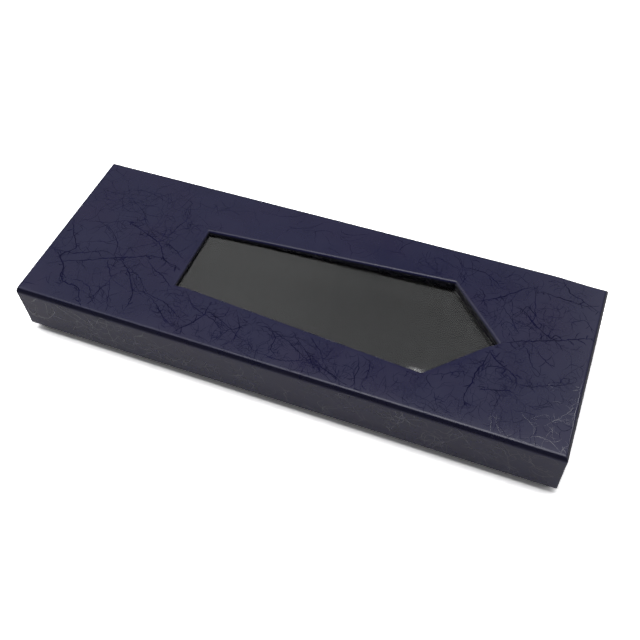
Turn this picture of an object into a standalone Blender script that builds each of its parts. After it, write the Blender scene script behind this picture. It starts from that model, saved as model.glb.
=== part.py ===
"""Tie gift box: a low lift-off lid with a tie-shaped window, over a tray with a padded floor.

Both halves are made the way rigid set-up boxes are: greyboard panels held at the corners by
paper stays, covered outside with leatherette paper and lined inside with black paper.

Lengths are in metres. The origin is at the middle of the underside, +X runs along the box
towards the window's point, +Y to the back and +Z up.
"""
import math

import bmesh
import bpy
from mathutils import Vector

# The whole box
LID_LENGTH = 0.380
LID_WIDTH = 0.135
BOX_HEIGHT = 0.044
BASE_REVEAL = 0.007         # height of the tray's side left showing under the lid
SLIP_GAP = 0.00035          # running clearance between the lid's lining and the tray

# Sheet and board thicknesses
WRAP_PAPER = 0.0002
LINING_PAPER = 0.0002
STAY_PAPER = 0.00015
TAPE_THICKNESS = 0.0002
FILM_THICKNESS = 0.00025
BOTTOM_CARD = 0.0004
TOP_BOARD = 0.0020
SIDE_BOARD = 0.0015
BOTTOM_BOARD = 0.0015
GLUE_GAP = 0.0003           # left between any two glued layers
JOINT_GAP = 0.0003          # left between two board edges that butt
REST_GAP = 0.0003           # between the lid's lining and the tray's rim it comes down on

# Folds
CORNER_RADIUS = 0.0016      # upright corners of the wrap
TOP_FOLD_RADIUS = 0.0026    # fold round the lid's top edges
WINDOW_FOLD_RADIUS = 0.0005
CREASE_RADIUS = 0.0003      # tightest corner a folded paper takes
FOLD_STEPS = 5
CREASE_STEPS = 2

# Turned-in edges of the wraps
LID_RIM_TURN_IN = 0.015
BASE_RIM_TURN_IN = 0.012
BASE_UNDER_TURN_IN = 0.012
WINDOW_TURN_IN = 0.010
TAPE_WIDTH = 0.005
LINER_SETBACK = 0.003       # the lid's lining stays this far back from the window
CARD_SETBACK = 0.003        # the bottom card stays this far in from the tray's edge
STAY_LEG = 0.012

# The window, placed by its margins from the lid's edges
WINDOW_END_MARGIN = 0.1035
WINDOW_POINT_MARGIN = 0.0590
WINDOW_NARROW_MARGIN = 0.0418
WINDOW_SHOULDER_MARGIN = 0.0291
WINDOW_POINT_ANGLE = math.radians(90)

# The pad on the tray's floor
PAD_THICKNESS = 0.006
PAD_CLEARANCE = 0.0005
PAD_EDGE_RADIUS = 0.0015

CUT_OVERRUN = 0.001

# Sizes that follow from those above
BOARD_INSET = WRAP_PAPER + GLUE_GAP + STAY_PAPER + GLUE_GAP
PAPER_INSET = BOARD_INSET + SIDE_BOARD + GLUE_GAP
LINING = max(WRAP_PAPER, LINING_PAPER)
WALL = PAPER_INSET + LINING
LID_HALF = Vector((LID_LENGTH / 2, LID_WIDTH / 2))
BASE_HALF = LID_HALF - Vector((WALL + SLIP_GAP, WALL + SLIP_GAP))

LID_RIM_Z = BASE_REVEAL
TOP_BOARD_Z = BOX_HEIGHT - WRAP_PAPER - GLUE_GAP - TOP_BOARD
WINDOW_SILL_Z = TOP_BOARD_Z - GLUE_GAP - max(WRAP_PAPER, TAPE_THICKNESS)
FILM_Z = WINDOW_SILL_Z - GLUE_GAP - FILM_THICKNESS
LID_LINER_TOP_Z = FILM_Z - GLUE_GAP
LID_UNDERSIDE_Z = LID_LINER_TOP_Z - LINING_PAPER
LID_BOARD_FOOT_Z = LID_RIM_Z + WRAP_PAPER + GLUE_GAP

BASE_WRAP_Z = BOTTOM_CARD + GLUE_GAP
BOTTOM_BOARD_Z = BASE_WRAP_Z + WRAP_PAPER + GLUE_GAP
BASE_LINER_Z = BOTTOM_BOARD_Z + BOTTOM_BOARD + GLUE_GAP
BASE_RIM_Z = LID_UNDERSIDE_Z - REST_GAP
BASE_BOARD_FOOT_Z = BOTTOM_BOARD_Z + BOTTOM_BOARD + JOINT_GAP
BASE_BOARD_TOP_Z = BASE_RIM_Z - WRAP_PAPER - GLUE_GAP
PAD_Z = BASE_LINER_Z + LINING_PAPER + GLUE_GAP

# Looks: colour (linear RGB), roughness
LEATHERETTE = ((0.030, 0.029, 0.060), 0.38)
BOTTOM_COVER = ((0.024, 0.023, 0.048), 0.5)
GREYBOARD = ((0.33, 0.31, 0.28), 0.9)
STAY_KRAFT = ((0.47, 0.33, 0.20), 0.8)
BLACK_PAPER = ((0.012, 0.012, 0.013), 0.7)
BLACK_FLOCK = ((0.006, 0.006, 0.007), 0.95)
CLEAR_FILM = ((0.9, 0.92, 0.93), 0.04)
TAPE_WHITE = ((0.75, 0.74, 0.70), 0.5)


def clear_scene():
    for item in list(bpy.data.objects):
        bpy.data.objects.remove(item, do_unlink=True)


def new_collection(name):
    collection = bpy.data.collections.new(name)
    bpy.context.scene.collection.children.link(collection)
    return collection


def finish_material(name, look, alpha=1.0):
    colour, roughness = look
    material = bpy.data.materials.new(name)
    material.use_nodes = True
    shader = material.node_tree.nodes["Principled BSDF"]
    shader.inputs["Base Color"].default_value = (*colour, 1.0)
    shader.inputs["Roughness"].default_value = roughness
    shader.inputs["Metallic"].default_value = 0.0
    shader.inputs["Alpha"].default_value = alpha
    material.diffuse_color = (*colour, alpha)
    return material


def new_piece(name, bm, look, collection, alpha=1.0):
    """Turns a bmesh into a named object with its own material."""
    bm.normal_update()
    mesh = bpy.data.meshes.new(name)
    bm.to_mesh(mesh)
    bm.free()
    mesh.materials.append(finish_material(name, look, alpha))
    piece = bpy.data.objects.new(name, mesh)
    collection.objects.link(piece)
    return piece


def solidify(piece, thickness):
    """Gives an open sheet its thickness, on the side away from its normals."""
    modifier = piece.modifiers.new("thickness", 'SOLIDIFY')
    modifier.thickness = thickness
    modifier.offset = -1
    modifier.use_even_offset = True


def smooth_folds(piece):
    piece.data.shade_smooth()
    piece.data.set_sharp_from_angle(angle=math.radians(50))


def set_in(half, inset):
    """A rectangle's half sizes, less the same inset on every side."""
    return half - Vector((inset, inset))


def rounded_rectangle(half, inset, radius, z):
    """Corner arcs of a rectangle, anticlockwise from the front left, set in from its half sizes."""
    radius = max(radius, CREASE_RADIUS)
    corner = set_in(half, inset + radius)
    points = []
    for start, (sign_x, sign_y) in enumerate(((-1, -1), (1, -1), (1, 1), (-1, 1))):
        for step in range(FOLD_STEPS + 1):
            angle = math.pi + math.radians(90) * (start + step / FOLD_STEPS)
            points.append((sign_x * corner.x + radius * math.cos(angle),
                           sign_y * corner.y + radius * math.sin(angle), z))
    return points


def window_corners():
    """The tie-shaped window, anticlockwise from its narrow end's front corner."""
    end_x = -LID_HALF.x + WINDOW_END_MARGIN
    point_x = LID_HALF.x - WINDOW_POINT_MARGIN
    narrow = LID_HALF.y - WINDOW_NARROW_MARGIN
    wide = LID_HALF.y - WINDOW_SHOULDER_MARGIN
    shoulder_x = point_x - wide / math.tan(WINDOW_POINT_ANGLE / 2)
    return [Vector(corner) for corner in ((end_x, -narrow), (shoulder_x, -wide), (point_x, 0),
                                          (shoulder_x, wide), (end_x, narrow))]


def window_outline(offset, z):
    """The window's outline moved outwards by an offset, with mitred corners."""
    corners = window_corners()
    points = []
    for index, corner in enumerate(corners):
        before = (corner - corners[index - 1]).normalized()
        after = (corners[(index + 1) % len(corners)] - corner).normalized()
        out_before = Vector((before.y, -before.x))
        out_after = Vector((after.y, -after.x))
        mitre = (out_before + out_after).normalized()
        place = corner + mitre * (offset / mitre.dot(out_before))
        points.append((place.x, place.y, z))
    return points


def skin(bm, loops):
    """Joins each loop of points to the next with a band of faces, and returns the loops' vertices."""
    rings = [[bm.verts.new(point) for point in loop] for loop in loops]
    for low, high in zip(rings, rings[1:]):
        for index in range(len(low)):
            after = (index + 1) % len(low)
            bm.faces.new((low[index], low[after], high[after], high[index]))
    return rings


def ring_edges(bm, ring):
    return [bm.edges.get((vertex, ring[index - 1])) for index, vertex in enumerate(ring)]


def fill_between(bm, outer, inner):
    """Fills the flat ring between two loops, facing up."""
    edges = ring_edges(bm, outer) + ring_edges(bm, inner)
    filled = bmesh.ops.triangle_fill(bm, use_beauty=True, edges=edges)
    faces = [item for item in filled["geom"] if isinstance(item, bmesh.types.BMFace)]
    bm.normal_update()
    bmesh.ops.reverse_faces(bm, faces=[face for face in faces if face.normal.z < 0])


def top_fold(radius, steps):
    """Pairs of inset and drop along a quarter-round fold, from the side up to the top."""
    pairs = []
    for step in range(steps + 1):
        angle = math.radians(90) * step / steps
        pairs.append((radius * (1 - math.cos(angle)), radius * (1 - math.sin(angle))))
    return pairs


def prism(bm, outline, height):
    """A flat outline, extruded upwards to a closed solid."""
    face = bm.faces.new([bm.verts.new(point) for point in outline])
    face.normal_update()
    if face.normal.z > 0:
        face.normal_flip()
    grown = bmesh.ops.extrude_face_region(bm, geom=[face], use_keep_orig=True)
    moved = [item for item in grown["geom"] if isinstance(item, bmesh.types.BMVert)]
    bmesh.ops.translate(bm, verts=moved, vec=Vector((0, 0, height)))
    bmesh.ops.recalc_face_normals(bm, faces=bm.faces)


def block(bm, low, high):
    """A box between two corners."""
    low = Vector(low)
    high = Vector(high)
    bmesh.ops.create_cube(bm, size=1.0)
    bmesh.ops.scale(bm, vec=high - low, verts=bm.verts)
    bmesh.ops.translate(bm, vec=(low + high) / 2, verts=bm.verts)


def round_edges(bm, radius, wanted):
    """Rounds the edges whose middle point and direction pass a test."""
    edges = []
    for edge in bm.edges:
        start, end = (vertex.co for vertex in edge.verts)
        if wanted((start + end) / 2, (end - start).normalized()):
            edges.append(edge)
    bmesh.ops.bevel(bm, geom=edges, offset=radius, offset_type='OFFSET', segments=FOLD_STEPS,
                    profile=0.5, affect='EDGES', clamp_overlap=True)


def upright(direction):
    return abs(direction.z) > math.cos(math.radians(1))


def lid_wrap(collection):
    """Leatherette from inside the lid's rim, over the sides and top, to under the window's edge."""
    bm = bmesh.new()
    crease = top_fold(CREASE_RADIUS, CREASE_STEPS)
    loops = [rounded_rectangle(LID_HALF, WALL, CREASE_RADIUS, LID_RIM_Z + LID_RIM_TURN_IN),
             rounded_rectangle(LID_HALF, WALL, CREASE_RADIUS, LID_RIM_Z)]
    loops += [rounded_rectangle(LID_HALF, inset, CORNER_RADIUS - inset, LID_RIM_Z + drop)
              for inset, drop in reversed(crease)]
    loops += [rounded_rectangle(LID_HALF, inset, CORNER_RADIUS - inset, BOX_HEIGHT - drop)
              for inset, drop in top_fold(TOP_FOLD_RADIUS, FOLD_STEPS)]
    outside = skin(bm, loops)
    fold = reversed(top_fold(WINDOW_FOLD_RADIUS, CREASE_STEPS))
    sleeve = [window_outline(inset, BOX_HEIGHT - drop) for inset, drop in fold]
    sleeve += [window_outline(0, WINDOW_SILL_Z), window_outline(WINDOW_TURN_IN, WINDOW_SILL_Z)]
    window = skin(bm, sleeve)
    fill_between(bm, outside[-1], window[0])
    piece = new_piece("lid_wrap", bm, LEATHERETTE, collection)
    solidify(piece, WRAP_PAPER)
    smooth_folds(piece)
    return piece


def window_cutter(collection):
    bm = bmesh.new()
    clearance = WRAP_PAPER + GLUE_GAP
    prism(bm, window_outline(clearance, TOP_BOARD_Z - CUT_OVERRUN), TOP_BOARD + 2 * CUT_OVERRUN)
    cutter = new_piece("window_cutter", bm, GREYBOARD, collection)
    cutter.hide_render = True
    cutter.display_type = 'WIRE'
    return cutter


def lid_top_board(collection, cutter):
    """The panel under the lid's top, rounded to sit inside the wrap's folds and cut for the window."""
    bm = bmesh.new()
    top = TOP_BOARD_Z + TOP_BOARD
    corner = CORNER_RADIUS - BOARD_INSET
    fold = min(max(TOP_FOLD_RADIUS - BOARD_INSET, CREASE_RADIUS), TOP_BOARD - GLUE_GAP)
    loops = [rounded_rectangle(LID_HALF, BOARD_INSET, corner, TOP_BOARD_Z)]
    loops += [rounded_rectangle(LID_HALF, BOARD_INSET + inset, corner - inset, top - drop)
              for inset, drop in top_fold(fold, FOLD_STEPS)]
    rings = skin(bm, loops)
    bm.faces.new(list(reversed(rings[0])))
    bm.faces.new(rings[-1])
    piece = new_piece("lid_top_board", bm, GREYBOARD, collection)
    cut = piece.modifiers.new("window", 'BOOLEAN')
    cut.operation = 'DIFFERENCE'
    cut.solver = 'EXACT'
    cut.object = cutter
    return piece


def side_boards(collection, prefix, half, foot, top):
    """Front and back panels at full length, with the end panels butted between them."""
    inner = SIDE_BOARD + JOINT_GAP
    corner = min(CORNER_RADIUS - BOARD_INSET, SIDE_BOARD)
    for side, sign in (("front", -1), ("back", 1)):
        bm = bmesh.new()
        depth = sorted((sign * half.y, sign * (half.y - SIDE_BOARD)))
        block(bm, (-half.x, depth[0], foot), (half.x, depth[1], top))
        outer = sign * half.y
        round_edges(bm, corner, lambda middle, direction, outer=outer:
                    upright(direction) and abs(middle.y - outer) < GLUE_GAP)
        new_piece(f"{prefix}_{side}_board", bm, GREYBOARD, collection)
    for side, sign in (("left", -1), ("right", 1)):
        bm = bmesh.new()
        across = sorted((sign * half.x, sign * (half.x - SIDE_BOARD)))
        block(bm, (across[0], inner - half.y, foot), (across[1], half.y - inner, top))
        new_piece(f"{prefix}_{side}_board", bm, GREYBOARD, collection)


def corner_stays(collection, prefix, half, foot, top):
    """Paper strips bent round the board corners, under the wrap."""
    inset = WRAP_PAPER + GLUE_GAP
    radius = max(CORNER_RADIUS - inset, CREASE_RADIUS)
    corners = ((("front", "left"), (-1, -1)), (("front", "right"), (1, -1)),
               (("back", "right"), (1, 1)), (("back", "left"), (-1, 1)))
    for turn, ((side, end), (sign_x, sign_y)) in enumerate(corners):
        centre = set_in(half, inset + radius) * Vector((sign_x, sign_y))
        path = []
        for step in range(FOLD_STEPS + 1):
            angle = math.pi + math.radians(90) * (turn + step / FOLD_STEPS)
            path.append(centre + radius * Vector((math.cos(angle), math.sin(angle))))
        first = (path[0] - centre).normalized()
        last = (path[-1] - centre).normalized()
        path.insert(0, path[0] - last * (STAY_LEG - radius))
        path.append(path[-1] - first * (STAY_LEG - radius))
        bm = bmesh.new()
        low = [bm.verts.new((point.x, point.y, foot)) for point in path]
        high = [bm.verts.new((point.x, point.y, top)) for point in path]
        for index in range(len(path) - 1):
            bm.faces.new((low[index], low[index + 1], high[index + 1], high[index]))
        piece = new_piece(f"{prefix}_stay_{side}_{end}", bm, STAY_KRAFT, collection)
        solidify(piece, STAY_PAPER)
        smooth_folds(piece)


def lid_liner(collection):
    """Black lining under the lid's top and down its sides to the wrap's turned-in edge."""
    bm = bmesh.new()
    foot = LID_RIM_Z + LID_RIM_TURN_IN + GLUE_GAP
    sides = skin(bm, [rounded_rectangle(LID_HALF, PAPER_INSET, CREASE_RADIUS * 2, foot),
                      rounded_rectangle(LID_HALF, PAPER_INSET, CREASE_RADIUS * 2, LID_LINER_TOP_Z)])
    outline = window_outline(LINER_SETBACK, LID_LINER_TOP_Z)
    window = [bm.verts.new(point) for point in outline]
    for index, vertex in enumerate(window):
        bm.edges.new((vertex, window[index - 1]))
    fill_between(bm, sides[-1], window)
    piece = new_piece("lid_liner", bm, BLACK_PAPER, collection)
    solidify(piece, LINING_PAPER)
    return piece


def window_film(collection):
    bm = bmesh.new()
    prism(bm, window_outline(WINDOW_TURN_IN + GLUE_GAP + TAPE_WIDTH, FILM_Z), FILM_THICKNESS)
    return new_piece("window_film", bm, CLEAR_FILM, collection, alpha=0.25)


def film_tape(collection):
    """The frame of tape between the film's rim and the board, just outside the wrap's turn-in."""
    bm = bmesh.new()
    low = TOP_BOARD_Z - GLUE_GAP - TAPE_THICKNESS
    high = TOP_BOARD_Z - GLUE_GAP
    inner = WINDOW_TURN_IN + GLUE_GAP
    outer = inner + TAPE_WIDTH
    rings = skin(bm, [window_outline(outer, low), window_outline(outer, high),
                      window_outline(inner, high), window_outline(inner, low)])
    bmesh.ops.bridge_loops(bm, edges=ring_edges(bm, rings[0]) + ring_edges(bm, rings[-1]))
    bmesh.ops.recalc_face_normals(bm, faces=bm.faces)
    return new_piece("film_tape", bm, TAPE_WHITE, collection)


def base_wrap(collection):
    """Leatherette from under the tray's edge, up the sides, over the rim and down inside."""
    bm = bmesh.new()
    crease = top_fold(CREASE_RADIUS, CREASE_STEPS)
    under = WALL + BASE_UNDER_TURN_IN
    loops = [rounded_rectangle(BASE_HALF, under, CREASE_RADIUS, BASE_WRAP_Z)]
    loops += [rounded_rectangle(BASE_HALF, inset, CORNER_RADIUS - inset, BASE_WRAP_Z + drop)
              for inset, drop in reversed(crease)]
    loops += [rounded_rectangle(BASE_HALF, inset, CORNER_RADIUS - inset, BASE_RIM_Z - drop)
              for inset, drop in crease]
    loops += [rounded_rectangle(BASE_HALF, WALL, CREASE_RADIUS, BASE_RIM_Z),
              rounded_rectangle(BASE_HALF, WALL, CREASE_RADIUS, BASE_RIM_Z - BASE_RIM_TURN_IN)]
    skin(bm, loops)
    piece = new_piece("base_wrap", bm, LEATHERETTE, collection)
    solidify(piece, WRAP_PAPER)
    smooth_folds(piece)
    return piece


def base_bottom_sheet(collection):
    """The covered card that the tray stands on."""
    bm = bmesh.new()
    prism(bm, rounded_rectangle(BASE_HALF, CARD_SETBACK, CREASE_RADIUS, 0), BOTTOM_CARD)
    return new_piece("base_bottom_sheet", bm, BOTTOM_COVER, collection)


def base_bottom_board(collection):
    bm = bmesh.new()
    half = set_in(BASE_HALF, BOARD_INSET)
    block(bm, (-half.x, -half.y, BOTTOM_BOARD_Z), (half.x, half.y, BOTTOM_BOARD_Z + BOTTOM_BOARD))
    round_edges(bm, max(CORNER_RADIUS - BOARD_INSET, CREASE_RADIUS),
                lambda middle, direction: upright(direction))
    return new_piece("base_bottom_board", bm, GREYBOARD, collection)


def base_liner(collection):
    """Black lining over the tray's floor and up its sides to the wrap's turned-in edge."""
    bm = bmesh.new()
    top = BASE_RIM_Z - BASE_RIM_TURN_IN - GLUE_GAP
    rings = skin(bm, [rounded_rectangle(BASE_HALF, PAPER_INSET, CREASE_RADIUS * 2, BASE_LINER_Z),
                      rounded_rectangle(BASE_HALF, PAPER_INSET, CREASE_RADIUS * 2, top)])
    bm.faces.new(list(reversed(rings[0])))
    piece = new_piece("base_liner", bm, BLACK_PAPER, collection)
    solidify(piece, LINING_PAPER)
    return piece


def tie_pad(collection):
    """Flocked foam pad that lies loose on the tray's lined floor."""
    bm = bmesh.new()
    half = set_in(BASE_HALF, WALL + PAD_CLEARANCE)
    top = PAD_Z + PAD_THICKNESS
    block(bm, (-half.x, -half.y, PAD_Z), (half.x, half.y, top))
    round_edges(bm, min(PAD_EDGE_RADIUS, PAD_THICKNESS / 2),
                lambda middle, direction: middle.z > top - GLUE_GAP)
    piece = new_piece("tie_pad", bm, BLACK_FLOCK, collection)
    smooth_folds(piece)
    return piece


def build_lid(collection, cutters):
    half = set_in(LID_HALF, BOARD_INSET)
    top = TOP_BOARD_Z - JOINT_GAP
    lid_wrap(collection)
    lid_top_board(collection, window_cutter(cutters))
    side_boards(collection, "lid", half, LID_BOARD_FOOT_Z, top)
    corner_stays(collection, "lid", LID_HALF, LID_BOARD_FOOT_Z, top)
    lid_liner(collection)
    window_film(collection)
    film_tape(collection)


def build_base(collection):
    half = set_in(BASE_HALF, BOARD_INSET)
    base_wrap(collection)
    base_bottom_sheet(collection)
    base_bottom_board(collection)
    side_boards(collection, "base", half, BASE_BOARD_FOOT_Z, BASE_BOARD_TOP_Z)
    corner_stays(collection, "base", BASE_HALF, BASE_BOARD_FOOT_Z, BASE_BOARD_TOP_Z)
    base_liner(collection)
    tie_pad(collection)


def main():
    clear_scene()
    box = new_collection("tie_gift_box")
    cutters = new_collection("cutters")
    build_lid(box, cutters)
    build_base(box)


main()
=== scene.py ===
"""Looks of the tie gift box: embossed leatherette over both halves, a bowed clear film in the
window and a flocked pad in the tray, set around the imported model.

Lengths are in metres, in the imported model's frame: the origin is at the middle of the underside,
+X runs along the box towards the window's point, +Y to the back and +Z up.
"""
import math
import random

import bmesh
import bpy
from mathutils import Matrix, Vector, noise


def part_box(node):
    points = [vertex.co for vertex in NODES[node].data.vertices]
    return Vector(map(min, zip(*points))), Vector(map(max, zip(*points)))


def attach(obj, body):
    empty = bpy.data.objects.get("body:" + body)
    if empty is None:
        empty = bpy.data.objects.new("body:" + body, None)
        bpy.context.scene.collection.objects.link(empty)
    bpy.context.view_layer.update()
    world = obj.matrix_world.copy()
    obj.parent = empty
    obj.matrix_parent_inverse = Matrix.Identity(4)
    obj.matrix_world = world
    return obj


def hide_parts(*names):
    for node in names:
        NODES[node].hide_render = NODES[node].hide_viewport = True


MM = 0.001

# The photograph's camera
EYE = Vector((0.15451, -0.32048, 0.47544))
AIM = Vector((0.01809, -0.02128, 0.0440))
ROLL = math.radians(-3.830)
LENS_MM = 46.422
SENSOR_MM = 36.0

# Light
FLOOR_SIZE = 8.0
FLOOR_DROP = 0.05 * MM
FLOOR_COLOUR = (0.88, 0.88, 0.88)
FLOOR_SHOWN = (2.00, 2.00, 2.00)
FLOOR_MIRRORED = (0.54, 0.53, 0.54)
FRONT_LEVEL = 0.12                # the dark room in front of the box
HORIZON_LEVEL = 0.42              # the diffuser behind and above it, from its foot to the zenith
DIFFUSER_LEVEL = 0.69
ZENITH_LEVEL = 1.50
DIFFUSER_HEIGHTS = (0.48, 0.70)
ZENITH_HEIGHTS = (0.875, 0.95)
STRIP_LEVEL = 3.6                 # the brightest part, straight overhead
STRIP_HEIGHTS = (0.94, 0.98)
BAR_LEVEL = 1.4                   # a bar over the box, along its length
BAR_REACH = (0.14, 0.34)
BAR_HEIGHTS = (0.35, 0.55)
DIFFUSER_FRONT = (-0.10, 0.05)
KEY_REACH = (-0.06, 0.12)         # its right part is brighter
KEY_LEVEL = 2.35
FAR_RIGHT_REACH = (0.14, 0.32)    # and ends here
FAR_RIGHT_LEVEL = 0.40
SIDE_LEVEL = 0.6                  # the two side panels
SIDE_REACH = (0.74, 0.94)
DIP_TOWARDS = Vector((-0.095, 0.57, 0.815)).normalized()
DIP_SHARE = 0.68
DIP_EDGE = math.cos(math.radians(12.5))
DIP_CORE = math.cos(math.radians(4))
SOFTBOX_LENGTH = 1.2
SOFTBOX_WIDTH = 0.30
SOFTBOX_PLACE = Vector((-0.20, -0.10, 1.10))
SOFTBOX_WATTS = 4.8

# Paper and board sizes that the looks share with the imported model
PAPER = 0.2 * MM
CORNER_RADIUS = 1.0 * MM
CREASE_RADIUS = 0.3 * MM
WALL = 2.95 * MM
LID_TURN_IN = 15 * MM
BASE_TURN_IN = 12 * MM
BASE_UNDER_TURN_IN = 12 * MM
WINDOW_TURN_IN = 10 * MM
WINDOW_SILL_Z = 41.0 * MM
WINDOW_END_X = -86.5 * MM
WINDOW_NARROW = 25.7 * MM
WINDOW_SHOULDER_X = 92.6 * MM
WINDOW_WIDE = 38.4 * MM
WINDOW_POINT_X = 131.0 * MM
WINDOW_CORNER_RADIUS = 0.5 * MM
WINDOW_FOLD_RADIUS = 2.7 * MM
WINDOW_END_FOLD_SHARE = 0.6       # how wide the fold is at the window's straight end
WINDOW_FRONT_FOLD_SHARE = 0.2     # how large the fold is along the window's front edges
FILM_MARGIN = 15.3 * MM

# The lid's outer fold: radius and sweep in degrees of each arc, from the top round to the side
FOLD_ARCS = ((4.4 * MM, 22), (1.0 * MM, 30), (14.0 * MM, 10), (2.7 * MM, 28))
FOLD_ARC_STEPS = 5
FOLD_REACH = 12 * MM              # how far in from the edge the mesh follows the fold
# The front fold is the fullest. The others are pressed tighter, to these shares of its size.
FAR_FOLD_SHARE = 0.15
RIGHT_FOLD_SHARE = 0.80

# Unevenness of the covered panels
TOP_SETTLE = 0.09 * MM
SHOULDER_DROP = 0.20 * MM
SHOULDER_REACH = 5.0 * MM
TOP_WAVE = 0.035 * MM
TOP_WAVE_LENGTH = 55 * MM
WALL_WAVE = 0.16 * MM
WALL_WAVE_LENGTH = 70 * MM

# Mesh steps
SIDE_STEP = 2.0 * MM
ARC_STEPS = 7
STRETCH = 2.0 * MM


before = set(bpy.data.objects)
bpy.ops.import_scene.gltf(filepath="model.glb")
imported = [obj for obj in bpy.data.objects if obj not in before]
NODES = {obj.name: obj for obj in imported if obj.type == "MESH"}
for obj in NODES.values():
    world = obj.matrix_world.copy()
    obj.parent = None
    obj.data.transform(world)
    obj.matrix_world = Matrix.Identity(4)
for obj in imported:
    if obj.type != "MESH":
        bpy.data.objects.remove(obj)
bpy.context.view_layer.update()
LID_LOW, LID_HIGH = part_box("lid_wrap")
BASE_LOW, BASE_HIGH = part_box("base_wrap")
PAD_LOW, PAD_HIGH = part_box("tie_pad")
FILM_LOW, FILM_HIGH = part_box("window_film")
LID_HALF = Vector((LID_HIGH.x, LID_HIGH.y))
BASE_HALF = Vector((BASE_HIGH.x, BASE_HIGH.y))


# Camera, floor and light

def add_camera():
    data = bpy.data.cameras.new("photo_camera")
    data.lens = LENS_MM
    data.sensor_width = SENSOR_MM
    data.sensor_fit = 'HORIZONTAL'
    data.clip_start = 0.01
    data.clip_end = 50.0
    camera = bpy.data.objects.new("photo_camera", data)
    bpy.context.scene.collection.objects.link(camera)
    turn = (AIM - EYE).to_track_quat('-Z', 'Y').to_matrix() @ Matrix.Rotation(ROLL, 3, 'Z')
    camera.matrix_world = Matrix.Translation(EYE) @ turn.to_4x4()
    bpy.context.scene.camera = camera


def seen_by(tree, kinds):
    """A factor that is 1 for rays of these kinds and 0 for the rest."""
    path = tree.nodes.new("ShaderNodeLightPath")
    factor = path.outputs[kinds[0]]
    for kind in kinds[1:]:
        either = tree.nodes.new("ShaderNodeMath")
        either.operation = 'MAXIMUM'
        tree.links.new(factor, either.inputs[0])
        tree.links.new(path.outputs[kind], either.inputs[1])
        factor = either.outputs[0]
    return factor


def add_floor():
    bm = bmesh.new()
    bmesh.ops.create_grid(bm, x_segments=1, y_segments=1, size=FLOOR_SIZE / 2)
    bmesh.ops.translate(bm, vec=Vector((0, 0, -FLOOR_DROP)), verts=bm.verts)
    mesh = bpy.data.meshes.new("floor")
    bm.to_mesh(mesh)
    bm.free()
    floor = bpy.data.objects.new("floor", mesh)
    bpy.context.scene.collection.objects.link(floor)
    material = bpy.data.materials.new("white_floor")
    material.use_nodes = True
    tree = material.node_tree
    tree.nodes.clear()
    output = tree.nodes.new("ShaderNodeOutputMaterial")
    diffuse = tree.nodes.new("ShaderNodeBsdfDiffuse")

    def paler_for(kinds, first, second):
        mix = tree.nodes.new("ShaderNodeMix")
        mix.data_type = 'RGBA'
        mix.inputs["B"].default_value = (*second, 1)
        if isinstance(first, tuple):
            mix.inputs["A"].default_value = (*first, 1)
        else:
            tree.links.new(first, mix.inputs["A"])
        tree.links.new(seen_by(tree, kinds), mix.inputs["Factor"])
        return mix.outputs["Result"]

    mirrored = paler_for(("Is Glossy Ray",), FLOOR_COLOUR, FLOOR_MIRRORED)
    shown = paler_for(("Is Camera Ray", "Is Transmission Ray"), mirrored, FLOOR_SHOWN)
    tree.links.new(shown, diffuse.inputs["Color"])
    tree.links.new(diffuse.outputs["BSDF"], output.inputs["Surface"])
    mesh.materials.append(material)


def add_softbox():
    """A lamp over the front of the box. It leaves no highlight of its own."""
    data = bpy.data.lights.new("softbox", 'AREA')
    data.shape = 'RECTANGLE'
    data.size = SOFTBOX_LENGTH
    data.size_y = SOFTBOX_WIDTH
    data.energy = SOFTBOX_WATTS
    lamp = bpy.data.objects.new("softbox", data)
    lamp.location = SOFTBOX_PLACE
    lamp.visible_camera = False
    lamp.visible_glossy = False
    lamp.visible_transmission = False
    bpy.context.scene.collection.objects.link(lamp)


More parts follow.
